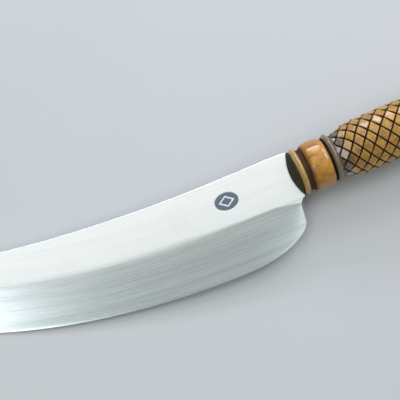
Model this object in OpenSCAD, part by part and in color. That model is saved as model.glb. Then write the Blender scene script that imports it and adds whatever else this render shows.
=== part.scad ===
// Large fixed-blade woodcarving knife: an upswept single-edged blade whose
// forged tang is bedded in a turned, burnt and varnished wooden handle.
//
// Frame: the origin is on the handle's axis, where the blade's shoulders meet
// the handle. +X runs along the handle to the butt, so the tip is at -X.
// +Y is the spine side and the edge faces -Y. +Z is out of the marked side.
// All lengths are in millimetres.

/* [Blade] */
// Length from the handle to the tip
blade_l = 245; // [225:5:265]
// Thickness of the steel between the two flats
blade_t = 4.5; // [4.2:0.1:5.5]
// Height of the blade where it meets the handle
ricasso_h = 23.6; // [22.4:0.2:24.4]
// Height of the tip above the handle's axis
tip_rise = 50; // [42:1:55]
// Depth of the belly below the handle's axis
belly_drop = 36; // [33:0.5:40]
// Distance from the handle to the deepest point of the belly
belly_x = 40; // [36:1:50]
// Step from the handle forward to the upright back of the heel
heel_step = 3.6; // [3:0.2:5]
// Depth of the top of the heel below the handle's axis
heel_drop = 21.5; // [20:0.5:23]
// Radius of the hollow between the ricasso and the heel
heel_fillet_r = 6; // [5.4:0.1:6.6]

/* [Grind] */
// Depth of the grind line below the axis, at the handle
grind_drop = 12.4; // [12:0.1:15]
// How far the grind line has risen where it reaches the tip
grind_rise = 68; // [66:0.5:72]
// Thickness left at the cutting edge
edge_t = 0.3; // [0.2:0.05:0.6]

/* [Etched mark] */
// Length of the plain oval, along the blade
mark_w = 13; // [8:0.5:16]
// Height of the plain oval
mark_h = 9.3; // [6:0.1:11]
// Distance of its centre from the handle
mark_x = 37; // [30:1:60]
// Height of its centre above the handle's axis
mark_y = 1; // [0:0.5:3]
// Depth of the etching
mark_depth = 0.12; // [0.05:0.01:0.3]

/* [Tang] */
// How far each flat is filed down where the blade sits in the wood
seat_relief = 0.1; // [0.05:0.05:0.25]
// Length of the tang inside the handle
tang_l = 86; // [70:1:88]
// Thickness of the tang
tang_t = 3.5; // [2.5:0.25:3.5]
// Height of the tang at the shoulders
tang_h = 12.5; // [10:0.5:13]
// Height of the tang at its end
tang_end_h = 7; // [5:0.5:9]
// Height of the slot that is burnt into the wood for the tang
mortise_h = 15; // [14.5:0.5:17]
// Depth of that slot
mortise_l = 90; // [89:1:100]

/* [Handle] */
// Length of the handle behind the blade's shoulders
handle_l = 124; // [120:1:132]
// Height of the domed front face
nose_dome = 2.8; // [1:0.2:3.2]
// Radius of the handle at the rim of its front face
nose_r = 11.6; // [11.2:0.1:11.7]
// Radius of the pale ring at the front
ring_r = 12.5; // [12:0.1:12.9]
// Radius at the bottom of the dark cove
cove_r = 10.8; // [10.2:0.1:11.2]
// Radius at the crown of the barrel
barrel_r = 13; // [12.4:0.1:13.6]
// Radius at the bottom of the black groove
groove_r = 10.9; // [10.2:0.1:11.2]
// Radius of the pale bead behind the groove
bead_r = 12.9; // [12.3:0.1:13.3]
// Radius of the scorched neck that the grip swells out of
neck_r = 11; // [10.6:0.1:11.4]
// Largest radius of the grip
grip_r = 14.2; // [13.5:0.1:15]
// Radius of the waist in front of the pommel
waist_r = 12; // [11.4:0.1:12.8]
// Largest radius of the pommel
pommel_r = 14.8; // [14:0.1:15.4]

/* [Hidden] */
$fn = 96;

CURVE_STEPS = 28;   // points along each long curve of the blade
TURN_STEPS = 8;     // points across each turned ring, cove and bead
OVERCUT = 1;        // how far a cutter runs past the surface that it trims
FILLET = 0.1;       // flat left between one turned detail and the next
BARREL_POWER = 3.2; // how flat the barrel's sides are turned

seat_t = blade_t - 2 * seat_relief;
seat_depth = nose_dome + 0.1;

// Where the turned details of the handle end, from front to back
rim_end = 1.4;
ring_end = 4;
cove_end = 7;
barrel_end = 17.8;
groove_end = 19.2;
bead_end = 22.2;
grip_x = 33.5;
waist_x = handle_l - 24;
rear_bead_end = waist_x + 2.6;
rear_groove_end = rear_bead_end + 1.4;
pommel_end = handle_l - 5;

// Radii of the lesser details, each taken from the one that it belongs to
barrel_end_r = nose_r + 0.2;
rear_bead_r = waist_r + 1.2;
rear_groove_r = waist_r - 0.8;

// Where the curve of the pommel's sides pulls out to, and where it ends
pommel_swell_r = pommel_r + 0.6;
pommel_back = [pommel_end, pommel_r - 2.5];

steel = [0.78, 0.79, 0.8];
amber_wood = [0.66, 0.42, 0.16];
resin = [0.2, 0.17, 0.12];

// ---- curves ----

// Point on a cubic Bezier curve, for t from 0 to 1
function bezier_point(p, t) =
    pow(1 - t, 3) * p[0] + 3 * pow(1 - t, 2) * t * p[1]
    + 3 * (1 - t) * pow(t, 2) * p[2] + pow(t, 3) * p[3];

// Points along a cubic Bezier curve, without its last one
function bezier(p, steps) = [for (i = [0 : steps - 1]) bezier_point(p, i / steps)];

// Points on an arc, both ends included
function arc(centre, r, from, to, steps) =
    [for (i = [0 : steps])
        let (a = from + (to - from) * i / steps)
            centre + r * [cos(a), sin(a)]];

// One turned detail from x0 to x1: r_end at both ends and r_mid halfway. A
// power of 2 turns a round bead or cove, and a higher one a flatter barrel.
function turned(x0, x1, r_end, r_mid, power) =
    [for (i = [0 : TURN_STEPS])
        let (u = 2 * i / TURN_STEPS - 1)
            [x0 + (x1 - x0) * i / TURN_STEPS, r_mid + (r_end - r_mid) * pow(abs(u), power)]];

// ---- blade ----

spine_start = [0, ricasso_h / 2];
tip = [-blade_l, tip_rise];
belly = [-belly_x, -belly_drop];
heel_top = [-heel_step, -heel_drop];
fillet_centre = [heel_fillet_r - heel_step, -ricasso_h / 2 - heel_fillet_r];
fillet_start = acos(-fillet_centre[0] / heel_fillet_r);

spine_curve = bezier(
    [spine_start, spine_start + [-20, 2.7], [-0.55 * blade_l, 6], tip], CURVE_STEPS);

// The cutting edge, from the tip round the belly to the top of the heel
edge_curve = concat(
    bezier([tip, tip + [42, -80], belly + [-20, 0], belly], CURVE_STEPS),
    bezier([belly, belly + [22, 0], heel_top + [0, -7], heel_top], CURVE_STEPS / 2),
    [heel_top]);

// Height of the grind line, where the flat ends and the bevel begins
function grind_y(x) =
    let (u = -x / blade_l)
        -grind_drop + grind_rise * (0.09 * u + 0.91 * pow(u, 3));

module blade_outline() {
    polygon(concat(
        spine_curve,
        edge_curve,
        arc(fillet_centre, heel_fillet_r, 180, fillet_start, TURN_STEPS)));
}

// The wedge to take off one side of the blade, from past the tip to the heel.
// Each of its sections is a triangle at one place along the edge.
module bevel_cutter() {
    beyond_tip = [tip + [-4, 6]];
    beyond_heel = [heel_top + [heel_step + 2, 0]];
    stations = concat(beyond_tip, edge_curve, beyond_heel);
    last = len(stations) - 1;
    z_top = blade_t / 2 + OVERCUT;
    points = [for (s = stations)
        let (
            fall = (blade_t - edge_t) / 2 / (grind_y(s[0]) - s[1]),
            below = s[1] - OVERCUT)
                each [
                    [s[0], grind_y(s[0]) + OVERCUT / fall, z_top],
                    [s[0], below, edge_t / 2 - OVERCUT * fall],
                    [s[0], below, z_top]]];
    sides = [for (i = [0 : last - 1], k = [0 : 2])
        let (a = 3 * i, b = a + 3, n = (k + 1) % 3)
            each [[a + k, a + n, b + n], [a + k, b + n, b + k]]];
    polyhedron(points, concat([[2, 1, 0]], sides, [[3 * last, 3 * last + 1, 3 * last + 2]]));
}

module tang() {
    linear_extrude(height = tang_t, center = true)
        polygon([
            [-OVERCUT, -tang_h / 2], [0, -tang_h / 2],
            [tang_l, -tang_end_h / 2], [tang_l, tang_end_h / 2],
            [0, tang_h / 2], [-OVERCUT, tang_h / 2]]);
}

// What is filed off one flat so that the shoulders fit their seat
module seat_filing() {
    translate([-seat_depth, -ricasso_h, seat_t / 2])
        cube([seat_depth + OVERCUT, 2 * ricasso_h, OVERCUT]);
}

module mark_oval() {
    step = 360 / 48;
    linear_extrude(height = OVERCUT)
        polygon([for (a = [0 : step : 360 - step]) [mark_w / 2 * cos(a), mark_h / 2 * sin(a)]]);
}

module blade() {
    color(steel)
        difference() {
            union() {
                linear_extrude(height = blade_t, center = true) blade_outline();
                tang();
            }
            bevel_cutter();
            mirror([0, 0, 1]) bevel_cutter();
            seat_filing();
            mirror([0, 0, 1]) seat_filing();
            translate([-mark_x, mark_y, blade_t / 2 - mark_depth]) mark_oval();
        }
}

// ---- handle ----

// Outline of the turned handle as [distance along the axis, radius]
dome_profile = [for (i = [0 : TURN_STEPS])
    let (u = i / TURN_STEPS) [-nose_dome * (1 - u * u), nose_r * u]];

front_profile = concat(
    turned(rim_end, ring_end, nose_r, ring_r, 2),
    turned(ring_end + FILLET, cove_end, nose_r, cove_r, 2),
    turned(cove_end + FILLET, barrel_end, barrel_end_r, barrel_r, BARREL_POWER),
    turned(barrel_end + FILLET, groove_end, barrel_end_r, groove_r, 2),
    turned(groove_end + FILLET, bead_end, nose_r, bead_r, 2));

grip_start = [grip_x, grip_r - 0.1];
grip_profile = concat(
    bezier([[bead_end + FILLET, neck_r + 0.4], [bead_end + 3.3, neck_r],
            [grip_x - 5.5, grip_r - 1], grip_start], TURN_STEPS * 2),
    bezier([grip_start, grip_start + [10, 0.5],
            [waist_x - 24, grip_r + 0.2], [waist_x - FILLET, waist_r]], TURN_STEPS * 2));

rear_profile = concat(
    turned(waist_x, rear_bead_end, waist_r, rear_bead_r, 2),
    turned(rear_bead_end + FILLET, rear_groove_end, waist_r, rear_groove_r, 2),
    bezier([[rear_groove_end + FILLET, waist_r + 0.6], [rear_groove_end + 2, pommel_swell_r],
            [pommel_end - 4, pommel_swell_r], pommel_back], TURN_STEPS * 2),
    bezier([pommel_back, pommel_back + [2.5, -2],
            [handle_l, pommel_r - 8], [handle_l, 0]], TURN_STEPS),
    [[handle_l, 0]]);

module turned_blank() {
    profile = concat(dome_profile, front_profile, grip_profile, rear_profile);
    rotate([0, 90, 0])
        rotate_extrude()
            polygon([for (p = profile) [p[1], p[0]]]);
}

// The slot in the wood: as thick as the filed shoulders and open at the front
module mortise() {
    translate([0, -mortise_h / 2, -seat_t / 2]) cube([mortise_l, mortise_h, seat_t]);
}

// The shallow seat that lets the blade's shoulders through the dome
module blade_seat() {
    seat_h = 2 * (nose_r + OVERCUT);
    translate([-seat_depth, -seat_h / 2, -seat_t / 2]) cube([seat_depth, seat_h, seat_t]);
}

module handle() {
    color(amber_wood)
        difference() {
            turned_blank();
            mortise();
            blade_seat();
        }
}

module tang_bedding() {
    color(resin)
        difference() {
            mortise();
            tang();
        }
}

blade();
handle();
tang_bedding();
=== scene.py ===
import math
from types import SimpleNamespace

import bmesh
import bpy
import numpy as np
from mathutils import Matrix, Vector
from mathutils.geometry import intersect_point_tri_2d


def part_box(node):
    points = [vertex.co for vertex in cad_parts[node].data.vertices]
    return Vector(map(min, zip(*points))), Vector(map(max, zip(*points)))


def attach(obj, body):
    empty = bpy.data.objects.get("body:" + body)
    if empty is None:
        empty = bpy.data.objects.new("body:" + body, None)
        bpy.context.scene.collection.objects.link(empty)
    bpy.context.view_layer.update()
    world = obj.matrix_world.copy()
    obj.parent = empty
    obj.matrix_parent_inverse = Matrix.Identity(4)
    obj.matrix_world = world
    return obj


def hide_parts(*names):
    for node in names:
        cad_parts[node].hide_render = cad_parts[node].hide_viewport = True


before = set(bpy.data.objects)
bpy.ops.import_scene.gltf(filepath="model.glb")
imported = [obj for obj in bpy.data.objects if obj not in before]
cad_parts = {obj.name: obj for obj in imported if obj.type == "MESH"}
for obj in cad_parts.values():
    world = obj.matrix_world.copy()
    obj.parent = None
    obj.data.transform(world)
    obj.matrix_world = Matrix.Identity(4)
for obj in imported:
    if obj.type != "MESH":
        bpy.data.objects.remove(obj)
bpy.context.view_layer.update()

# The knife lies along X with its tip at -X, its spine at +Y, its edge at -Y and
# its marked side up. The shapes below are worked out in millimetres, from the
# frame's own boxes and the sizes of the part, and become metres in the meshes.
MM = 0.001
rng = np.random.default_rng(7)

blade_low, blade_high = (np.array(c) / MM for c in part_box("blade"))
handle_high = np.array(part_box("handle")[1]) / MM

# ---- sizes of the blade, in mm ----
BLADE_L = -blade_low[0]
BLADE_T = blade_high[2] - blade_low[2]
TIP_RISE = blade_high[1]
BELLY_DROP = -blade_low[1]
TANG_L = blade_high[0]
RICASSO_H = 23.6
BELLY_X = 40
HEEL_STEP = 3.6
HEEL_DROP = 21.5
HEEL_FILLET_R = 6
GRIND_DROP = 12.4
GRIND_RISE = 68
GRIND_STRAIGHT = 0.09   # share of that rise that is straight; the rest is cubic
GRIND_DIP = 2.6         # how far the grind line dips where it runs out at the handle
GRIND_DIP_L = 20        # how far from the handle the dip has faded out
GRIND_CRISP = 0.07      # how widely the grind line's corner is rounded at the heel
GRIND_SOFTER = 0.15     # and how much more widely towards the tip
EDGE_T = 0.3            # thickness of the steel where the keen edge begins
KEEN_T = 0.06           # thickness at the keen edge itself
KEEN_W = 0.7            # width of the keen edge's own narrow bevel
SPINE_ROUND = 0.35      # radius of the eased corners of the spine
HEEL_ROUND = 0.3        # radius of the eased corners of the heel's back
TANG_T = 3.5
TANG_H = 12.5
TANG_END_H = 7

# ---- the etched mark, in mm ----
MARK_W = 13
MARK_H = 9.3
MARK_CENTRE = (-37, 1)
MARK_TURN = -3          # degrees
MARK_DEPTH = 0.12
LOZENGE_HALF_W = 4.1
LOZENGE_HALF_H = 2.9

# ---- the blade's mesh ----
COARSE = 1.1            # mm from one cross-section to the next
FINE = 0.16             # the same across the mark
NEAR_TIP = 0.5          # and near the tip
TIP_STRETCH = 12        # how far from the tip that begins
TIP_GAP = 0.6           # the last cross-section is nearer to the tip than this
TIP_INSET = 0.05        # how far the point stays inside the part's box
HEEL_END_X = -12.0      # where the cross-sections that fan round the heel end
HEEL_COLUMNS = 56       # how many of those there are
HOLLOW_STEPS = 24       # points round the hollow behind the heel
MARKED_ROWS = (150, 40)     # rows on the flat and on the bevel of the marked side
PLAIN_ROWS = (28, 24)       # and of the plain side
STEEL_SMOOTH = 24       # degrees: a sharper edge than this shows as an edge
WOOD_SMOOTH = 38

# ---- sizes of the handle, in mm ----
HANDLE_L = handle_high[0]
NOSE_DOME = 2.8
NOSE_R = 11.6
RING_R = 12.5
COVE_R = 10.8
BARREL_R = 13
BARREL_END_R = NOSE_R + 0.2
BARREL_POWER = 3.2      # how flat the barrel's sides are turned
GROOVE_R = 10.9
BEAD_R = 12.9
NECK_R = 11
GRIP_R = 14.2
WAIST_R = 12
REAR_BEAD_R = WAIST_R + 1.2
REAR_GROOVE_R = WAIST_R - 0.8
POMMEL_R = 14.8
POMMEL_SWELL_R = POMMEL_R + 0.6     # where the curve of the pommel's sides pulls to
FILLET = 0.1            # flat left between one turned detail and the next
UNEVEN = 0.04           # how strongly the handwork waves in and out of round

# where the turned details end, from front to back
RIM_END = 1.4
RING_END = 4
COVE_END = 7
BARREL_END = 17.8
GROOVE_END = 19.2
BEAD_END = 22.2
GRIP_X = 33.5
WAIST_X = HANDLE_L - 24
REAR_BEAD_END = WAIST_X + 2.6
REAR_GROOVE_END = REAR_BEAD_END + 1.4
POMMEL_END = HANDLE_L - 5

# the slot for the tang
MORTISE_L = 90
MORTISE_H = 15
MORTISE_T = 4.3         # as thick as the part's filed shoulders
SLOT_GAP = 0.02         # left clear around the steel and the bedding

# ---- the chequering carved round the grip, in mm ----
STARTS = 10             # grooves of each hand round the grip
ACROSS = 22             # points of the mesh from one groove to the next
RING_GAP = 0.1          # mm kept free between the grip's own rings and the next ones
LEFT_CROSS_X = 37       # where a left-hand groove passes over the top of the grip
RIGHT_CROSS_X = 37.6    # and a right-hand one
LEFT_TWISTS = (6.1, 4.8)    # degrees for each mm, at the neck and in the middle
RIGHT_TWISTS = (6.35, 6.1)
EVEN_TWIST = 5.5        # the twist that both hands come to at the rear
NECK_BLEND = (25, 43)   # where the neck's twist gives way to the middle's
REAR_BLEND = (58, 70)   # and the middle's to the even one
CHEQUER_START = BEAD_END + 0.1
CHEQUER_FULL = BEAD_END + 1.2
CHEQUER_END = WAIST_X - 2.5
CHEQUER_FADE = 3        # how far before that end the grooves begin to fade
GROOVE_W = 1.2          # width of a carved groove from lip to lip
GROOVE_FLOOR_W = 0.16
GROOVE_DEPTH = 0.65
GROOVE_SLIP = 0.035     # how far a groove wanders off its line, as a share of their spacing
HALF_CELL = 2.5         # a groove further off than this has no effect
PILLOW = 0.12           # how far each cell is rounded down towards its grooves
FLATTEN = 0.975         # the middle of each flattened cell, as a share of the radius
TONES = 64              # more than the cells in one row along the grip


# ---- curves ----

def bezier(p0, p1, p2, p3, steps):
    """Points along a cubic Bezier curve, without its last one."""
    t = (np.arange(steps) / steps)[:, None]
    p0, p1, p2, p3 = (np.array(p, float) for p in (p0, p1, p2, p3))
    return (1 - t) ** 3 * p0 + 3 * (1 - t) ** 2 * t * p1 + 3 * (1 - t) * t ** 2 * p2 + t ** 3 * p3


def smoothstep(low, high, x):
    """Rises smoothly from 0 to 1 as x goes from low to high."""
    t = np.clip((x - low) / (high - low), 0, 1)
    return t * t * (3 - 2 * t)


def along(points):
    """Length of a polyline up to each of its points."""
    return np.concatenate([[0], np.cumsum(np.linalg.norm(np.diff(points, axis=0), axis=1))])


# ---- meshes ----

def make_object(name, points, faces, smooth_angle):
    """A mesh object from points in mm, shaded smooth except across sharp edges."""
    mesh = bpy.data.meshes.new(name)
    mesh.from_pydata((np.asarray(points) * MM).tolist(), [], faces)
    mesh.validate()
    mesh.shade_smooth()
    mesh.set_sharp_from_angle(angle=math.radians(smooth_angle))
    piece = bpy.data.objects.new(name, mesh)
    bpy.context.scene.collection.objects.link(piece)
    return piece


def store(piece, name, values):
    """Keeps one number for each vertex, for the piece's material to read."""
    layer = piece.data.attributes.new(name, "FLOAT", "POINT")
    layer.data.foreach_set("value", np.asarray(values, np.float32))


def lattice_faces(columns, rows, start=0, flip=False):
    """Quads between neighbouring columns of points that are stored column by column."""
    i, j = np.meshgrid(np.arange(columns - 1), np.arange(rows - 1), indexing="ij")
    a = start + i * rows + j
    quads = np.stack([a, a + rows, a + rows + 1, a + 1], axis=-1).reshape(-1, 4)
    return (quads[:, ::-1] if flip else quads).tolist()


def tube_faces(rings, around):
    """Quads round a tube of rings, whose ends close on the two points after the rings."""
    faces = []
    for i in range(rings - 1):
        a = i * around + np.arange(around)
        b = i * around + (np.arange(around) + 1) % around
        faces += np.stack([a, b, b + around, a + around], 1).tolist()
    first = np.arange(around)
    last = (rings - 1) * around + first
    front, back = rings * around, rings * around + 1
    faces += [[front, int(b), int(a)] for a, b in zip(first, np.roll(first, -1))]
    faces += [[back, int(a), int(b)] for a, b in zip(last, np.roll(last, -1))]
    return faces


# ---- blade ----

TIP = np.array([-BLADE_L, TIP_RISE])
BELLY = np.array([-BELLY_X, -BELLY_DROP])
HEEL_TOP = np.array([-HEEL_STEP, -HEEL_DROP])


def spine_line():
    """Along the back of the blade, from the handle to the tip."""
    start = np.array([0, RICASSO_H / 2])
    curve = bezier(start, start + [-20, 2.7], [-0.55 * BLADE_L, 6], TIP, steps=400)
    return np.vstack([curve, TIP])


def lower_line():
    """From the handle round the hollow and the heel and along the edge to the tip."""
    centre = np.array([HEEL_FILLET_R - HEEL_STEP, -RICASSO_H / 2 - HEEL_FILLET_R])
    start = math.acos(-centre[0] / HEEL_FILLET_R)
    a = np.linspace(start, math.pi, HOLLOW_STEPS)
    hollow = centre + HEEL_FILLET_R * np.stack([np.cos(a), np.sin(a)], axis=1)
    heel = bezier(HEEL_TOP, HEEL_TOP + [0, -7], BELLY + [22, 0], BELLY, steps=120)
    edge = bezier(BELLY, BELLY + [-20, 0], TIP + [42, -80], TIP, steps=500)
    return np.vstack([hollow, heel, edge, TIP])


def grind_y(x):
    """Height of the grind line, which runs out downwards at the ricasso."""
    u = -x / BLADE_L
    dip = GRIND_DIP * (1 - smoothstep(0, GRIND_DIP_L, -x))
    rise = GRIND_RISE * (GRIND_STRAIGHT * u + (1 - GRIND_STRAIGHT) * u ** 3)
    return -GRIND_DROP - dip + rise


def edge_y(x):
    """Height of the cutting edge at x, level with the heel's top where it has ended."""
    edge = lower_line()[HOLLOW_STEPS:]
    return np.interp(-x, -edge[:, 0], edge[:, 1])


def soft_minimum(a, b, width):
    """The lesser of a and b, with the corner between them rounded over width."""
    near = np.clip(1 - np.abs(a - b) / width, 0, 1)
    return np.minimum(a, b) - width * near ** 2 / 4


def half_thickness(x, y):
    """Half the steel's thickness: flat above the grind line and a bevel below it."""
    grind, edge = grind_y(x), edge_y(x)
    fall = (BLADE_T - EDGE_T) / 2 / (grind - edge)
    bevel = EDGE_T / 2 + (y - edge) * fall
    softness = GRIND_CRISP + GRIND_SOFTER * smoothstep(20, 80, -x)
    return soft_minimum(np.full_like(x, BLADE_T / 2), bevel, softness)


def eased(distance, radius):
    """How far a surface drops at that distance from a corner of that radius."""
    gap = np.clip(radius - distance, 0, radius)
    return radius - np.sqrt(radius ** 2 - gap ** 2)


def column_places():
    """Where the cross-sections stand on the spine, from the heel on. The fine steps
    begin a coarse step before the mark, so that none of it is missed."""
    mark_from = MARK_CENTRE[0] + MARK_W / 2 + COARSE + 0.5
    mark_to = MARK_CENTRE[0] - MARK_W / 2 - 0.6
    x = [HEEL_END_X]
    while x[-1] > TIP[0] + TIP_GAP:
        step = FINE if mark_to < x[-1] < mark_from else COARSE
        if x[-1] < TIP[0] + TIP_STRETCH:
            step = NEAR_TIP
        x.append(x[-1] - step)
    return np.array(x[1:])


def blade_columns():
    """Where each cross-section of the blade starts on the spine and ends below, and
    how far it is still in the heel."""
    lower, spine = lower_line(), spine_line()
    length = along(lower)
    edge_x, edge_length = -lower[HOLLOW_STEPS:, 0], length[HOLLOW_STEPS:]
    heel_length = np.interp(-HEEL_END_X, edge_x, edge_length)
    x = column_places()
    heel_s = np.linspace(0, heel_length, HEEL_COLUMNS)
    s = np.concatenate([heel_s, np.interp(-x, edge_x, edge_length)])
    low = np.stack([np.interp(s, length, lower[:, k]) for k in (0, 1)], axis=1)
    high_x = np.concatenate([HEEL_END_X * heel_s / heel_length, x])
    high = np.stack([high_x, np.interp(-high_x, -spine[:, 0], spine[:, 1])], axis=1)
    in_heel = np.concatenate([1 - smoothstep(0.75, 1, heel_s / heel_length), np.zeros(len(x))])
    return high, low, in_heel


def grind_share(high, low, height):
    """Where each slanting column crosses the grind line, as a share of its height,
    found by closing in on the line from the middle."""
    share = np.full(len(high), 0.5)
    for _ in range(30):
        at = high + (low - high) * share[:, None]
        share += (at[:, 1] - grind_y(at[:, 0])) / height
        share = np.clip(share, 0.15, 0.9)
    return share


def rows_across(high, low, flat_rows, bevel_rows):
    """Shares from spine to edge, for each column: crowded at the spine's rounded
    corner, at the grind line and at the keen edge."""
    height = np.linalg.norm(high - low, axis=1)
    corner = np.array([0, 0.09, 0.22, 0.4, 0.67, 1]) * SPINE_ROUND
    keen = np.array([KEEN_W, KEEN_W * 0.55, HEEL_ROUND / 3, HEEL_ROUND / 12, 0])
    flat = np.linspace(0, 1, flat_rows)[1:]
    bevel = np.linspace(0, 1, bevel_rows)[1:]
    shares = []
    for h, grind in zip(height, grind_share(high, low, height)):
        room = min(1.0, h / 4)      # less of it near the tip, where the blade is low
        top = corner * room / h
        end = keen * room / h
        body = top[-1] + (grind - top[-1]) * flat
        slope = grind + (1 - end[0] - grind) * bevel
        shares.append(np.concatenate([top, body, slope, 1 - end[1:]]))
    return np.array(shares), height


def etched(x, y):
    """1 where the mark is etched: an oval around a plain lozenge outline."""
    turn = math.radians(MARK_TURN)
    dx, dy = x - MARK_CENTRE[0], y - MARK_CENTRE[1]
    u = dx * math.cos(turn) + dy * math.sin(turn)
    v = dy * math.cos(turn) - dx * math.sin(turn)
    oval = 1 - smoothstep(0.92, 0.99, np.hypot(u / (MARK_W / 2), v / (MARK_H / 2)))
    lozenge = np.abs(u) / LOZENGE_HALF_W + np.abs(v) / LOZENGE_HALF_H
    line = smoothstep(0.68, 0.78, lozenge) * (1 - smoothstep(0.98, 1.08, lozenge))
    return oval * (1 - line)


def blade_side(high, low, in_heel, rows, sign):
    """The points of one side of the blade, and how deeply each is etched."""
    share, height = rows_across(high, low, *rows)
    x = high[:, :1] + (low - high)[:, :1] * share
    y = high[:, 1:] + (low - high)[:, 1:] * share
    z = half_thickness(x, y)
    from_spine = share * height[:, None]
    from_edge = (1 - share) * height[:, None]
    thick = np.clip(z / (BLADE_T / 2), 0, 1)
    z -= eased(from_spine, SPINE_ROUND) * thick
    keen = EDGE_T / 2 + (KEEN_T - EDGE_T) / 2 * np.clip(1 - from_edge / KEEN_W, 0, 1)
    z -= np.clip(EDGE_T / 2 - keen, 0, None) * (1 - in_heel[:, None])
    z -= eased(from_edge, HEEL_ROUND) * in_heel[:, None] * thick
    z = np.maximum(z, KEEN_T / 2)
    etch = etched(x, y) if sign > 0 else np.zeros_like(x)
    z -= MARK_DEPTH * etch
    return np.stack([x, y, sign * z], axis=-1), etch


def blade_faces(columns, top_rows, under_rows):
    """Both sides of the blade, joined along the spine and the edge and at the tip."""
    base = columns * top_rows
    tip = base + columns * under_rows
    faces = lattice_faces(columns, top_rows)
    faces += lattice_faces(columns, under_rows, base, flip=True)
    for i in range(columns - 1):
        a, b = i * top_rows, base + i * under_rows
        faces.append([a, b, b + under_rows, a + top_rows])
        c, d = a + top_rows - 1, b + under_rows - 1
        faces.append([c, c + top_rows, d + under_rows, d])
    last = base - top_rows
    rim = list(range(last, base))
    rim += list(range(tip - 1, tip - under_rows - 1, -1))
    faces += [[a, tip, b] for a, b in zip(rim, rim[1:] + rim[:1])]
    return faces


def build_blade():
    """The blade with its heel, bevels and mark, and the tang that runs on from it."""
    high, low, in_heel = blade_columns()
    top, etch = blade_side(high, low, in_heel, MARKED_ROWS, 1)
    under, plain = blade_side(high, low, in_heel, PLAIN_ROWS, -1)
    columns, top_rows, under_rows = len(high), top.shape[1], under.shape[1]
    tip = [[TIP[0] + TIP_INSET, TIP[1], 0]]
    points = np.vstack([top.reshape(-1, 3), under.reshape(-1, 3), tip])
    faces = blade_faces(columns, top_rows, under_rows)
    piece = make_object("blade_forging", points, faces, STEEL_SMOOTH)
    store(piece, "etch", np.concatenate([etch.ravel(), plain.ravel(), [0]]))
    add_tang(piece, columns, top_rows, under_rows)
    return piece


def add_tang(piece, columns, top_rows, under_rows):
    """Closes the shoulders round the tang and draws the tapered tang out of them."""
    mesh = bmesh.new()
    mesh.from_mesh(piece.data)
    mesh.verts.ensure_lookup_table()
    base = columns * top_rows
    loop = [mesh.verts[i] for i in range(top_rows)]
    loop += [mesh.verts[base + i] for i in range(under_rows - 1, -1, -1)]
    rings = []
    for x, half in ((0, TANG_H / 2), (TANG_L, TANG_END_H / 2)):
        corners = ((half, 1), (-half, 1), (-half, -1), (half, -1))
        rings.append([mesh.verts.new(Vector((x, y, z * TANG_T / 2)) * MM) for y, z in corners])
    edges = []
    for ring in (loop, rings[0]):
        for a, b in zip(ring, ring[1:] + ring[:1]):
            edges.append(mesh.edges.get((a, b)) or mesh.edges.new((a, b)))
    bmesh.ops.triangle_fill(mesh, edges=edges, use_beauty=True, normal=(1, 0, 0))
    for k in range(4):
        n = (k + 1) % 4
        mesh.faces.new([rings[0][k], rings[0][n], rings[1][n], rings[1][k]])
    mesh.faces.new(rings[1])
    bmesh.ops.recalc_face_normals(mesh, faces=mesh.faces)
    mesh.to_mesh(piece.data)
    mesh.free()
    piece.data.set_sharp_from_angle(angle=math.radians(STEEL_SMOOTH))


# ---- handle ----

def turned(x0, x1, r_end, r_mid, power, steps):
    """One turned detail from x0 to x1: r_end at both ends and r_mid halfway. A power
    of 2 turns a round bead or cove, and a higher one a flatter barrel."""
    u = np.linspace(-1, 1, steps + 1)
    return np.stack([x0 + (x1 - x0) * (u + 1) / 2, r_mid + (r_end - r_mid) * np.abs(u) ** power], 1)


def handle_profile():
    """The turned outline behind the rim, as distance along the axis and radius."""
    grip_start = np.array([GRIP_X, GRIP_R - 0.1])
    pommel_back = np.array([POMMEL_END, POMMEL_R - 2.5])
    front = [
        [[0, NOSE_R]],
        turned(RIM_END, RING_END, NOSE_R, RING_R, 2, steps=10),
        turned(RING_END + FILLET, COVE_END, NOSE_R, COVE_R, 2, steps=10),
        turned(COVE_END + FILLET, BARREL_END, BARREL_END_R, BARREL_R, BARREL_POWER, steps=30),
        turned(BARREL_END + FILLET, GROOVE_END, BARREL_END_R, GROOVE_R, 2, steps=8),
        turned(GROOVE_END + FILLET, BEAD_END, NOSE_R, BEAD_R, 2, steps=12)]
    grip = [
        bezier([BEAD_END + FILLET, NECK_R + 0.4], [BEAD_END + 3.3, NECK_R],
               [GRIP_X - 5.5, GRIP_R - 1], grip_start, steps=60),
        bezier(grip_start, grip_start + [10, 0.5],
               [WAIST_X - 24, GRIP_R + 0.2], [WAIST_X - FILLET, WAIST_R], steps=200)]
    rear = [
        turned(WAIST_X, REAR_BEAD_END, WAIST_R, REAR_BEAD_R, 2, steps=10),
        turned(REAR_BEAD_END + FILLET, REAR_GROOVE_END, WAIST_R, REAR_GROOVE_R, 2, steps=8),
        bezier([REAR_GROOVE_END + FILLET, WAIST_R + 0.6], [REAR_GROOVE_END + 2, POMMEL_SWELL_R],
               [POMMEL_END - 4, POMMEL_SWELL_R], pommel_back, steps=34),
        bezier(pommel_back, pommel_back + [2.5, -2],
               [HANDLE_L, POMMEL_R - 8], [HANDLE_L, 0], steps=26)]
    return np.vstack(front + grip + rear)


# The grooves were laid out steeper at the neck, and the two hands differ
# a little. Each is followed by its phase, which grows by 1 from groove to groove.
phase_x = np.linspace(BEAD_END, WAIST_X, 2000)


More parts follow.
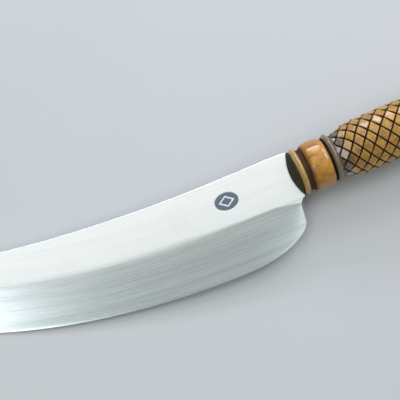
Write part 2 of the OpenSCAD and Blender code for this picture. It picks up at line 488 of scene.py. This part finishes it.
def groove_phase(cross_x, twists):
    """Phase of one hand along the grip, and how fast it grows for each mm."""
    neck_twist, twist = twists
    there = np.full_like(phase_x, twist)
    there += (neck_twist - twist) * (1 - smoothstep(*NECK_BLEND, phase_x))
    there += (EVEN_TWIST - twist) * smoothstep(*REAR_BLEND, phase_x)
    turned_by = np.concatenate([[0], np.cumsum((there[1:] + there[:-1]) / 2 * np.diff(phase_x))])
    phase = turned_by * STARTS / 360
    return phase - np.interp(cross_x, phase_x, phase), there * STARTS / 360


left_phase, left_rate = groove_phase(LEFT_CROSS_X, LEFT_TWISTS)
right_phase, right_rate = groove_phase(RIGHT_CROSS_X, RIGHT_TWISTS)
groove_slip = {hand: rng.uniform(-GROOVE_SLIP, GROOVE_SLIP, STARTS) for hand in (1, -1)}
cell_tones = rng.uniform(0, 1, (STARTS, TONES))


def grip_rings():
    """Rings whose points line up with the grooves of both hands, and the turn of each."""
    total = left_phase + right_phase
    step = 2 / ACROSS
    count = np.arange(math.ceil(total[0] / step) + 1, math.floor(total[-1] / step))
    x = np.interp(count * step, total, phase_x)
    turn = count / ACROSS - np.interp(x, phase_x, left_phase)
    return x, turn * 360 / STARTS


def handle_rings():
    """All the handle's rings, as place along the axis and radius, and the turn of each."""
    profile = handle_profile()
    grip_x, grip_turn = grip_rings()
    front = profile[profile[:, 0] < grip_x[0] - RING_GAP]
    rear = profile[profile[:, 0] > grip_x[-1] + RING_GAP]
    grip = np.stack([grip_x, np.interp(grip_x, profile[:, 0], profile[:, 1])], 1)
    u = np.linspace(0, 1, 13)[1:-1]
    dome = np.stack([-NOSE_DOME * (1 - u * u), NOSE_R * u], 1)
    rings = np.vstack([dome, front, grip, rear])
    return rings, np.interp(rings[:, 0], grip_x, grip_turn)


def chequering(x, angle, radius):
    """Distance in mm to the nearest groove, the share of the radius that is left
    by each cell's flat top, and a tone for each cell."""
    top = 90
    around = (angle - top) * STARTS / 360
    nearest, cells, across = None, [], -1
    for hand, phase, rate in ((1, left_phase, left_rate), (-1, right_phase, right_rate)):
        cell = around + hand * np.interp(x, phase_x, phase)
        index = np.round(cell).astype(int) % STARTS
        cell = cell - groove_slip[hand][index] * (1 + np.sin(x / 5 + index * 2.1))
        slope = np.hypot(STARTS / (2 * math.pi * radius), np.interp(x, phase_x, rate))
        away = np.abs(cell - np.round(cell)) / slope
        nearest = away if nearest is None else np.minimum(nearest, away)
        cells.append(np.floor(cell).astype(int))
        across = across + cell - np.floor(cell)
    flat = np.minimum(1, FLATTEN / np.cos(np.radians(across * 180 / STARTS)))
    return nearest, flat, cell_tones[cells[1] % STARTS, (cells[0] - cells[1]) % TONES]


def carving(x, theta, radius):
    """How deep the chequering is cut at each point, and what the material reads of it."""
    near, flat, tone = chequering(x, theta, np.maximum(radius, 1))
    fade_out = 1 - smoothstep(CHEQUER_END - CHEQUER_FADE, CHEQUER_END, x)
    carved = smoothstep(CHEQUER_START, CHEQUER_FULL, x) * fade_out
    groove = 1 - smoothstep(GROOVE_FLOOR_W / 2, GROOVE_W / 2, near)
    pillow = np.clip(1 - near / HALF_CELL, 0, 1) ** 2
    depth = carved * (GROOVE_DEPTH * groove + PILLOW * pillow + (1 - flat) * radius)
    near = np.where(carved > 0.02, near, HALF_CELL)     # no grooves in the turned details
    return depth, {"groove_near": near, "carved": carved, "cell_tone": tone}


def out_of_round(x, theta):
    """Uneven handwork, in three and five lobes that never leave the turned form."""
    wave = np.sin(np.radians(theta * 3) + x / 9) + np.sin(np.radians(theta * 5) - x / 5)
    return UNEVEN * (wave - 2) * smoothstep(0, 1, x)


def build_handle():
    """The turned and carved wood, with its slot for the tang cut out."""
    rings, turn = handle_rings()
    around = STARTS * ACROSS
    x = np.repeat(rings[:, :1], around, 1)
    radius = np.repeat(rings[:, 1:], around, 1)
    theta = (np.arange(around) * 360 / around)[None] + turn[:, None]
    depth, layers = carving(x, theta, radius)
    radius = radius + out_of_round(x, theta) - depth
    rad = np.radians(theta)
    points = np.stack([x, radius * np.cos(rad), radius * np.sin(rad)], -1).reshape(-1, 3)
    points = np.vstack([points, [[-NOSE_DOME, 0, 0], [HANDLE_L, 0, 0]]])
    faces = tube_faces(len(rings), around)
    piece = make_object("handle_turned_wood", points, faces, WOOD_SMOOTH)
    for name, values in layers.items():
        store(piece, name, np.concatenate([values.ravel(), values[0, :1], values[-1, :1]]))
    cut_slot(piece)
    return piece


def box_mesh(low, high):
    """A plain box between two corners in mm, used only to cut with."""
    corners = [(x, y, z) for x in (low[0], high[0])
               for y in (low[1], high[1]) for z in (low[2], high[2])]
    faces = [(0, 1, 3, 2), (4, 6, 7, 5), (0, 4, 5, 1), (2, 3, 7, 6), (0, 2, 6, 4), (1, 5, 7, 3)]
    return make_object("slot_cutter", corners, faces, WOOD_SMOOTH)


def cut_slot(piece):
    """Cuts the tang's slot and the seat for the blade's shoulders out of the wood.
    The visual blade keeps its full thickness there, so the seat is wider than the
    part's own, which takes filed shoulders."""
    half = MORTISE_T / 2 + SLOT_GAP
    slot = box_mesh((-1, -MORTISE_H / 2, -half), (MORTISE_L, MORTISE_H / 2, half))
    half = BLADE_T / 2 + SLOT_GAP
    seat = box_mesh((-NOSE_DOME - 1, -NOSE_R - 1, -half), (SLOT_GAP, NOSE_R + 1, half))
    for cutter in (slot, seat):
        modifier = piece.modifiers.new("slot", "BOOLEAN")
        modifier.operation = "DIFFERENCE"
        modifier.solver = "EXACT"
        modifier.object = cutter
    ready = piece.evaluated_get(bpy.context.evaluated_depsgraph_get())
    cut = bpy.data.meshes.new_from_object(ready)
    piece.modifiers.clear()
    piece.data = cut
    piece.data.set_sharp_from_angle(angle=math.radians(WOOD_SMOOTH))
    for cutter in (slot, seat):
        bpy.data.objects.remove(cutter)


# ---- materials ----

class Graph:
    """Short ways to add and join the nodes of one material."""

    def __init__(self, name):
        self.material = bpy.data.materials.new(name)
        self.material.use_nodes = True
        self.tree = self.material.node_tree
        self.shader = self.tree.nodes["Principled BSDF"]

    def add(self, kind, inputs=None, output=0, **properties):
        """Adds a node, fills or links its inputs and gives back one of its outputs."""
        node = self.tree.nodes.new(kind)
        for key, value in properties.items():
            setattr(node, key, value)
        for key, value in (inputs or {}).items():
            self.put(node.inputs[key], value)
        return node.outputs[output]

    def put(self, socket, value):
        """Links a socket to another one, or sets it to a constant."""
        if isinstance(value, bpy.types.NodeSocket):
            self.tree.links.new(value, socket)
        else:
            socket.default_value = value

    def math(self, operation, *values):
        return self.add("ShaderNodeMath", dict(enumerate(values)), operation=operation)

    def times(self, a, b):
        return self.math("MULTIPLY", a, b)

    def plus(self, a, b):
        return self.math("ADD", a, b)

    def without(self, value):
        """What value leaves of 1."""
        return self.math("SUBTRACT", 1, value)

    def mix(self, share, low, high):
        """From one colour to another: the node's sockets 6, 7 and 2 are its colours."""
        return self.add("ShaderNodeMix", {0: share, 6: low, 7: high}, output=2, data_type="RGBA")

    def step(self, value, low, high):
        """Rises smoothly from 0 to 1 as value goes from low to high."""
        return self.add("ShaderNodeMapRange", {0: value, 1: low, 2: high},
                        interpolation_type="SMOOTHSTEP")

    def noise(self, vector, scale, detail=4, roughness=0.5, distortion=0):
        return self.add("ShaderNodeTexNoise", {
            "Vector": vector, "Scale": scale, "Detail": detail,
            "Roughness": roughness, "Distortion": distortion})

    def layer(self, name):
        """The number that store() kept under that name."""
        return self.add("ShaderNodeAttribute", output=2, attribute_name=name)

    def place(self):
        """Where the point is in the row frame: the X, Y and Z sockets and the vector."""
        vector = self.add("ShaderNodeTexCoord", output=3)
        parts = self.tree.nodes.new("ShaderNodeSeparateXYZ")
        self.put(parts.inputs[0], vector)
        return parts.outputs[0], parts.outputs[1], parts.outputs[2], vector

    def vector(self, x, y, z):
        return self.add("ShaderNodeCombineXYZ", {0: x, 1: y, 2: z})

    def bump(self, height, strength, distance, normal=None):
        inputs = {"Height": height, "Strength": strength, "Distance": distance}
        if normal is not None:
            inputs["Normal"] = normal
        return self.add("ShaderNodeBump", inputs)

    def set(self, **inputs):
        """Fills the shader's own inputs, named with _ for each space."""
        for key, value in inputs.items():
            self.put(self.shader.inputs[key.replace("_", " ")], value)


# ---- steel ----

BRUSHED = ((0.68, 0.69, 0.69, 1), (0.84, 0.845, 0.845, 1))
WORN_STREAK = (0.64, 0.66, 0.65, 1)
CLOUDED = (0.72, 0.725, 0.72, 1)
ETCHED = ((0.08, 0.1, 0.13, 1), (0.17, 0.19, 0.23, 1))


def steel_streaks(g, x, below, for_x, for_y, detail, roughness=0.5):
    """Noise drawn out along the grind line, with that many features for each metre
    along it and below it."""
    return g.noise(g.vector(g.times(x, for_x), g.times(below, for_y), 0), 1, detail, roughness)


def blade_steel():
    """Satin steel, brushed along the blade, with a dark etched mark."""
    g = Graph("satin_blade_steel")
    x, y, _, where = g.place()
    u = g.times(x, -1 / (BLADE_L * MM))
    cubed = g.math("POWER", u, 3)
    rise = g.plus(g.times(u, GRIND_STRAIGHT), g.times(cubed, 1 - GRIND_STRAIGHT))
    below = g.math("SUBTRACT", y, g.times(rise, GRIND_RISE * MM))
    streaks = steel_streaks(g, x, below, for_x=18, for_y=1500, detail=5, roughness=0.62)
    broad = steel_streaks(g, x, below, for_x=9, for_y=260, detail=3)
    etch = g.layer("etch")

    on_bevel = g.without(g.step(below, (-GRIND_DROP - 0.5) * MM, (-GRIND_DROP + 0.5) * MM))
    worn = g.times(g.step(broad, 0.42, 0.68), g.plus(0.15, g.times(on_bevel, 0.85)))
    bright = g.mix(worn, g.mix(streaks, *BRUSHED), WORN_STREAK)
    cloud = g.noise(where, 38, detail=4, roughness=0.6)
    clouded = g.mix(g.step(cloud, 0.5, 0.8), bright, CLOUDED)
    dark = g.mix(g.noise(where, 2600, detail=3), *ETCHED)
    g.set(Base_Color=g.mix(etch, clouded, dark), Metallic=g.without(g.times(etch, 0.6)))

    rough = g.plus(0.17, g.times(streaks, 0.12))
    rough = g.plus(rough, g.times(broad, 0.06))
    rough = g.plus(rough, g.times(etch, 0.3))
    brushed = g.bump(streaks, strength=0.12, distance=0.02 * MM)
    waved = g.bump(broad, strength=0.25, distance=0.06 * MM, normal=brushed)
    g.set(Roughness=rough, Normal=waved)
    return g.material


# ---- wood: the darker and the lighter colour of each part of it ----

AMBER = ((0.36, 0.13, 0.005, 1), (0.66, 0.31, 0.02, 1))
AMBER_CELL = ((0.33, 0.127, 0.005, 1), (0.52, 0.24, 0.009, 1))
PALE = ((0.31, 0.17, 0.042, 1), (0.55, 0.355, 0.11, 1))
WORN = ((0.1, 0.062, 0.028, 1), (0.26, 0.18, 0.1, 1))
# dark end: scorched wood; pale grey end: painted reflection of the sky on the neck's cells
ASH_AND_SHEEN = ((0.05, 0.032, 0.022, 1), (0.44, 0.36, 0.28, 1))
SCORCHED = ((0.03, 0.02, 0.014, 1), (0.14, 0.095, 0.065, 1))
COVE = ((0.02, 0.007, 0.002, 1), (0.085, 0.03, 0.009, 1))
NOSE = ((0.014, 0.01, 0.002, 1), (0.05, 0.038, 0.011, 1))
CHAR = ((0.003, 0.002, 0.001, 1), (0.014, 0.008, 0.005, 1))

# colours that are laid over some places
DARK_RING = (0.38, 0.14, 0.006, 1)
SMOKED = (0.15, 0.045, 0.004, 1)
SMOKED_CELL = (0.17, 0.06, 0.005, 1)
STAINED_CELL = (0.15, 0.055, 0.004, 1)
LIGHT_FIBRE = (0.55, 0.3, 0.027, 1)
SINGED = (0.13, 0.04, 0.008, 1)


def wood_fields(g):
    """What varies over the wood: the carving's layers and the noises of its grain."""
    x, y, z, where = g.place()

    def grain(for_x, across, detail, roughness, distortion=0):
        """Noise drawn out along the handle, with that many features for each metre
        along it and across it."""
        drawn_out = g.vector(g.times(x, for_x), g.times(y, across), g.times(z, across))
        return g.noise(drawn_out, 1, detail, roughness, distortion)

    return SimpleNamespace(
        x=x,
        near=g.layer("groove_near"),
        carved=g.layer("carved"),
        tone=g.layer("cell_tone"),
        fibre=grain(60, 700, detail=6, roughness=0.6),
        rings=grain(10, 90, detail=3, roughness=0.5, distortion=0.4),
        smoke=g.step(grain(90, 260, detail=3, roughness=0.6), 0.5, 0.7),
        mottle=g.noise(where, 240, detail=4, roughness=0.6),
        stain=g.noise(where, 620, detail=3, roughness=0.6))


def band(g, field, start, end, soft):
    """1 between two places along the handle, in mm, blurred and ragged over soft."""
    ragged = g.times(g.math("SUBTRACT", field.mottle, 0.5), soft * MM * 1.2)
    at = g.plus(field.x, ragged)
    up = g.step(at, (start - soft / 2) * MM, (start + soft / 2) * MM)
    down = g.step(at, (end - soft / 2) * MM, (end + soft / 2) * MM)
    return g.times(up, g.without(down))


def turned_colour(g, field):
    """Smooth amber wood, with darker rings and smoke marks."""
    wood = g.mix(field.fibre, *AMBER)
    wood = g.mix(g.step(field.rings, 0.45, 0.7), wood, DARK_RING)
    return g.mix(g.times(field.smoke, 0.7), wood, SMOKED)


def cell_colour(g, field):
    """The grip's cells: amber in the middle, and paler at their edges next to the grooves, where a
    highlight is painted.
    """
    amber = g.mix(field.tone, *AMBER_CELL)
    amber = g.mix(g.step(field.fibre, 0.4, 0.8), amber, LIGHT_FIBRE)
    amber = g.mix(g.times(g.step(field.stain, 0.5, 0.66), 0.55), amber, STAINED_CELL)
    amber = g.mix(g.times(field.smoke, 0.55), amber, SMOKED_CELL)
    # painted highlight: the cells' edges by the grooves are lightened, as if they caught the light
    painted_edge_highlight = g.without(g.step(field.near, 0.7, 1.7))
    return g.mix(g.times(painted_edge_highlight, 0.25), amber, g.mix(field.fibre, *PALE))


def neck_ash_and_sheen(g, field, colour):
    """Greys the cells nearest the neck, each by its own tone, from dark scorched wood to a pale
    grey that is painted reflection.
    """
    near_neck = g.without(g.step(field.x, (BEAD_END + 2) * MM, (BEAD_END + 9) * MM))
    # each cell gets dark scorch or pale grey painted reflection, by its own tone
    ash_and_sheen = g.mix(g.step(field.tone, 0.3, 0.8), *ASH_AND_SHEEN)
    return g.mix(g.times(g.times(near_neck, field.carved), 0.9), colour, ash_and_sheen)


def banded(g, field, colour):
    """Lays the tints of the turned details over the wood, each in its own band."""
    pale = g.mix(field.fibre, *PALE)
    worn = g.mix(field.fibre, *WORN)
    char = g.mix(field.mottle, *CHAR)
    scorched = g.mix(field.fibre, *SCORCHED)
    cove = g.mix(field.mottle, *COVE)
    singed = g.times(band(g, field, COVE_END - 0.2, COVE_END + 1.3, 1.6), 0.7)
    colour = g.mix(singed, colour, SINGED)
    for start, end, soft, tint in (
            (RIM_END, RING_END, 0.4, pale),
            (RING_END - 0.2, COVE_END, 0.6, cove),
            (BARREL_END - 0.1, GROOVE_END + 0.1, 0.4, char),
            (GROOVE_END + 0.1, BEAD_END - 0.6, 0.5, worn),
            (WAIST_X, REAR_BEAD_END, 0.5, worn),
            (REAR_BEAD_END, REAR_GROOVE_END + 0.3, 0.5, char),
            (BEAD_END - 0.6, BEAD_END + 1.3, 0.7, scorched),
            (WAIST_X - 2.5, WAIST_X, 1.5, scorched)):
        colour = g.mix(band(g, field, start, end, soft), colour, tint)
    return colour


def scorched_wood():
    """Amber wood, scorched in its coves and grooves, under gloss varnish."""
    g = Graph("scorched_varnished_wood")
    field = wood_fields(g)
    colour = g.mix(field.carved, turned_colour(g, field), cell_colour(g, field))
    colour = banded(g, field, neck_ash_and_sheen(g, field, colour))
    at_nose = g.without(g.step(field.x, (RIM_END - 0.6) * MM, (RIM_END - 0.1) * MM))
    colour = g.mix(at_nose, colour, g.mix(field.mottle, *NOSE))
    in_groove = g.times(g.without(g.step(field.near, 0.2, 0.62)), field.carved)
    colour = g.mix(in_groove, colour, g.mix(field.mottle, *CHAR))

    # varnish lies thin and dull where the wood is burnt
    burnt = g.math("MAXIMUM", at_nose, in_groove)
    burnt = g.math("MAXIMUM", burnt, band(g, field, RING_END, COVE_END + 0.3, 0.6))
    burnt = g.math("MAXIMUM", burnt, band(g, field, BARREL_END, GROOVE_END, 0.4))
    rough = g.plus(0.34, g.times(field.fibre, 0.25))
    rough = g.plus(rough, g.times(burnt, 0.25))
    g.set(Base_Color=colour, Roughness=rough, IOR=1.5, Specular_IOR_Level=0.25)
    g.set(Coat_Weight=g.without(burnt), Coat_Roughness=0.2, Coat_IOR=1.5)
    relief = g.plus(field.fibre, g.times(field.stain, 0.8))
    g.set(Normal=g.bump(relief, strength=0.4, distance=0.12 * MM))
    return g.material


def cast_resin():
    """Hard dark filler with fine voids."""
    g = Graph("cast_resin")
    grain = g.noise(g.place()[3], 900, detail=5, roughness=0.6)
    g.set(Base_Color=g.mix(grain, (0.03, 0.024, 0.016, 1), (0.08, 0.065, 0.045, 1)))
    g.set(Roughness=g.plus(0.45, g.times(grain, 0.3)))
    g.set(Normal=g.bump(grain, strength=0.4, distance=0.2 * MM))
    return g.material


def studio_floor():
    """Plain pale floor with a very faint unevenness."""
    g = Graph("pale_floor")
    cloud = g.noise(g.place()[3], 6, detail=4)
    g.set(Base_Color=g.mix(cloud, (0.5, 0.49, 0.475, 1), (0.54, 0.53, 0.515, 1)), Roughness=0.8)
    return g.material


# ---- the pieces ----

blade = build_blade()
blade.data.materials.append(blade_steel())
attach(blade, "root")
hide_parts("blade")

handle = build_handle()
handle.data.materials.append(scorched_wood())
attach(handle, "root")
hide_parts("handle")

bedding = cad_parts["tang_bedding"]
bedding.data.materials.clear()
bedding.data.materials.append(cast_resin())

# ---- floor, light and camera: from here on all lengths are in metres ----

# Where the knife balances, seen from above: its steel weighs far more than its wood.
BALANCE = (-68.7 * MM, 2.2 * MM)
FLOOR_HALF = 3.0
WORLD_COLOUR = (0.75, 0.87, 0.85, 1)
WORLD_STRENGTH = 0.42
WARM_WHITE = (1.0, 0.98, 0.95)
CLOUD_WHITE = (1.0, 0.99, 0.975)
COLD_WHITE = (0.84, 0.93, 1.0)
LEAF_LIGHT = (0.86, 0.98, 0.98)
CLEAR_SKY = (0.74, 0.84, 1.0)
RIM_BLUE = (0.76, 0.8, 1.0)


def resting_plane(pieces):
    """A point and the upward normal of the plane that the knife lies on: the face of
    its convex hull that is right below its balance."""
    hull = bmesh.new()
    for piece in pieces:
        hull.from_mesh(piece.data)
    found = bmesh.ops.convex_hull(hull, input=hull.verts)["geom"]
    faces = [f for f in found if isinstance(f, bmesh.types.BMFace)]
    bmesh.ops.recalc_face_normals(hull, faces=faces)
    for face in faces:
        corners = [v.co.xy for v in face.verts]
        if face.normal.z < 0 and intersect_point_tri_2d(Vector(BALANCE), *corners):
            place, up = face.verts[0].co.copy(), -face.normal
            break
    hull.free()
    return place, up


def build_floor(pieces):
    """A plain plane under the places that the knife rests on."""
    place, up = resting_plane(pieces)
    mesh = bpy.data.meshes.new("floor")
    corners = [(x * FLOOR_HALF, y * FLOOR_HALF, 0) for x, y in ((-1, -1), (1, -1), (1, 1), (-1, 1))]
    mesh.from_pydata(corners, [], [(0, 1, 2, 3)])
    floor = bpy.data.objects.new("floor", mesh)
    floor.location = place
    floor.rotation_mode = "QUATERNION"
    floor.rotation_quaternion = up.to_track_quat("Z", "Y")
    bpy.context.scene.collection.objects.link(floor)
    floor.data.materials.append(studio_floor())


def add_panel(name, place, aim, size, radiance, colour):
    """A soft rectangular light that shines that brightly, seen from anywhere."""
    width, depth = size
    light = bpy.data.lights.new(name, "AREA")
    light.shape = "RECTANGLE"
    light.size, light.size_y = width, depth
    light.energy = radiance * math.pi * width * depth
    light.color = colour
    panel = bpy.data.objects.new(name, light)
    panel.location = place
    panel.rotation_mode = "QUATERNION"
    panel.rotation_quaternion = (Vector(aim) - Vector(place)).to_track_quat("-Z", "Y")
    bpy.context.scene.collection.objects.link(panel)


def add_overhead(name, place, size, radiance, colour):
    """A panel that faces straight down."""
    add_panel(name, place, (place[0], place[1], 0), size, radiance, colour)


def add_world():
    """An even pale light from all round, as under trees."""
    world = bpy.data.worlds.new("studio")
    world.use_nodes = True
    background = world.node_tree.nodes["Background"]
    background.inputs[0].default_value = WORLD_COLOUR
    background.inputs[1].default_value = WORLD_STRENGTH
    bpy.context.scene.world = world


def add_camera(azimuth, elevation, aim, distance, lens):
    a, e = math.radians(azimuth), math.radians(elevation)
    back = Vector((math.sin(a) * math.cos(e), -math.cos(a) * math.cos(e), math.sin(e)))
    camera = bpy.data.objects.new("camera", bpy.data.cameras.new("camera"))
    camera.data.lens = lens
    camera.location = Vector(aim) + back * distance
    camera.rotation_mode = "QUATERNION"
    camera.rotation_quaternion = (-back).to_track_quat("-Z", "Y")
    bpy.context.scene.collection.objects.link(camera)
    bpy.context.scene.camera = camera


build_floor([blade, handle])

# each panel's name and place, where it points if it isn't overhead, its size,
# how brightly it shines, and its colour
add_overhead("sky_overhead", (0.05, 0.5, 1.0), (1.0, 0.86), 0.97, CLOUD_WHITE)
add_overhead("sky_left", (-0.75, -0.25, 1.0), (0.8, 0.6), 2.7, COLD_WHITE)
add_panel("key_far", (0.3, 1.1, 0.75), (0.05, 0, 0), (0.32, 0.28), 7, WARM_WHITE)
add_panel("horizon_far", (0.2, 1.15, 0.38), (0.05, 0, 0), (0.9, 0.24), 11, CLEAR_SKY)
add_panel("rim_far", (0.8, 0.67, 0.55), (0.02, 0, 0), (0.35, 0.28), 11, RIM_BLUE)
add_panel("rim_right", (0.85, 0.22, 0.75), (0.02, 0, 0), (0.4, 0.3), 11, RIM_BLUE)
add_overhead("near_right", (0.5, -0.35, 1.0), (0.66, 0.6), 0.66, LEAF_LIGHT)
add_world()

bpy.context.scene.view_settings.view_transform = "Standard"
add_camera(azimuth=-24, elevation=80, aim=(-0.0486, 0.0074, 0), distance=0.6, lens=108)
